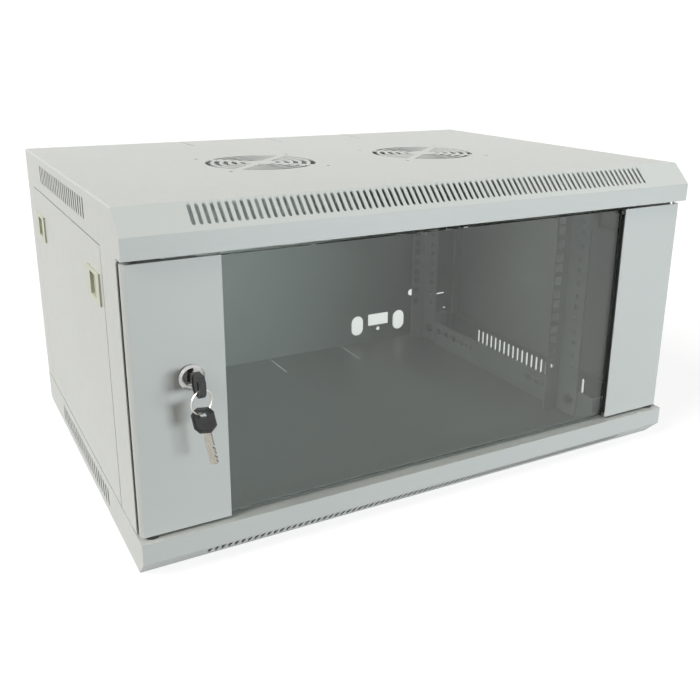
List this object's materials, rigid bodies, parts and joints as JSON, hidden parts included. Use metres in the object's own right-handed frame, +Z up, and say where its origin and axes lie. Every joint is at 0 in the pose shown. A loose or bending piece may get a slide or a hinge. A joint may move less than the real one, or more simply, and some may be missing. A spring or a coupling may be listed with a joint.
{
  "type": "wall mount network cabinet",
  "caption": "Low steel wall cabinet with a glass front door, slotted sloping top edge, lift-out side panels with slide latches, and 19 inch rails inside.",
  "frame": {"origin": "centre of the underside of the cabinet's 600 x 440 footprint, keys left out", "axes": "+X to the right seen from the front, -Y out of the glass door, +Z up"},
  "size_m": [0.6032, 0.468, 0.314],
  "materials": {
    "cabinet_paint": "light grey textured powder coat",
    "rail_paint": "light grey smooth powder coat",
    "tinted_glass": "grey tinted toughened glass",
    "zinc": "bright zinc plate",
    "lock_chrome": "polished chrome plate",
    "black_nylon": "black moulded nylon",
    "black_plastic": "black moulded plastic",
    "latch_plastic": "cream moulded plastic",
    "black_rubber": "black extruded seal",
    "foam_tape": "black foam tape",
    "key_steel": "nickel plated"
  },
  "bodies": {
    "cabinet": {"top_cover": "cabinet_paint", "base_pan": "cabinet_paint", "rear_strip": "cabinet_paint", "entry_strip": "cabinet_paint", "back_panel": "cabinet_paint", "front_column_left": "cabinet_paint", "front_column_right": "cabinet_paint", "rear_column_left": "cabinet_paint", "rear_column_right": "cabinet_paint", "depth_rail_lower_left": "rail_paint", "depth_rail_lower_right": "rail_paint", "depth_rail_upper_left": "rail_paint", "depth_rail_upper_right": "rail_paint", "front_rail_left": "rail_paint", "front_rail_right": "rail_paint", "rear_rail_left": "rail_paint", "rear_rail_right": "rail_paint", "rail_bolts": "zinc", "rail_nuts": "zinc", "hinge_bushes": "black_nylon"},
    "door": {"door_panel_left": "cabinet_paint", "door_panel_right": "cabinet_paint", "door_glass": "tinted_glass", "glass_tapes": "foam_tape", "glass_seal": "black_rubber", "glass_corner_pads": "black_plastic", "hinge_brackets": "zinc", "hinge_pin_lower": "zinc", "hinge_pin_upper": "zinc", "lock_housing": "lock_chrome", "lock_nut": "zinc"},
    "lock": {"lock_plug": "lock_chrome", "lock_cam": "zinc", "cam_screw": "zinc"},
    "key": {"key_blade": "key_steel", "key_bow": "black_plastic"},
    "ring": {"key_ring": "zinc"},
    "spare_key": {"spare_key_blade": "key_steel", "spare_key_bow": "black_plastic"},
    "side_left": {"side_panel_left": "cabinet_paint", "latch_frames_left": "latch_plastic"},
    "side_right": {"side_panel_right": "cabinet_paint", "latch_frames_right": "latch_plastic"},
    "latch_left_front": {"latch_slider_left_front": "latch_plastic"},
    "latch_left_rear": {"latch_slider_left_rear": "latch_plastic"},
    "latch_right_front": {"latch_slider_right_front": "latch_plastic"},
    "latch_right_rear": {"latch_slider_right_rear": "latch_plastic"}
  },
  "joints": [
    {"name": "door_hinge", "type": "hinge", "parent": "cabinet", "child": "door", "pos_m": [0.2885, -0.2094, 0.155], "axis": [0, 0, 1], "range_deg": [0, 180]},
    {"name": "lock_turn", "type": "hinge", "parent": "door", "child": "lock", "pos_m": [-0.249, -0.21, 0.174], "axis": [0, 1, 0], "range_deg": [0, 90]},
    {"name": "key_withdraw", "type": "slide", "parent": "lock", "child": "key", "axis": [0, -1, 0], "range_m": [0, 0.025]},
    {"name": "ring_swing", "type": "hinge", "parent": "key", "child": "ring", "pos_m": [-0.249, -0.2381, 0.17115], "axis": [0.9511, 0.309, 0], "range_deg": [-45, 10]},
    {"name": "spare_key_swing", "type": "hinge", "parent": "ring", "child": "spare_key", "pos_m": [-0.249, -0.2381, 0.15135], "axis": [0.9511, 0.309, 0], "range_deg": [-15, 15]},
    {"name": "side_panel_tilt_left", "type": "hinge", "parent": "cabinet", "child": "side_left", "pos_m": [-0.3, 0.014, 0.038], "axis": [0, -1, 0], "range_deg": [0, 35]},
    {"name": "side_panel_tilt_right", "type": "hinge", "parent": "cabinet", "child": "side_right", "pos_m": [0.3, 0.014, 0.038], "axis": [0, 1, 0], "range_deg": [0, 35]},
    {"name": "latch_slide_left_front", "type": "slide", "parent": "side_left", "child": "latch_left_front", "axis": [0, -1, 0], "range_m": [0, 0.006]},
    {"name": "latch_slide_left_rear", "type": "slide", "parent": "side_left", "child": "latch_left_rear", "axis": [0, 1, 0], "range_m": [0, 0.006]},
    {"name": "latch_slide_right_front", "type": "slide", "parent": "side_right", "child": "latch_right_front", "axis": [0, -1, 0], "range_m": [0, 0.006]},
    {"name": "latch_slide_right_rear", "type": "slide", "parent": "side_right", "child": "latch_right_rear", "axis": [0, 1, 0], "range_m": [0, 0.006]}
  ]
}
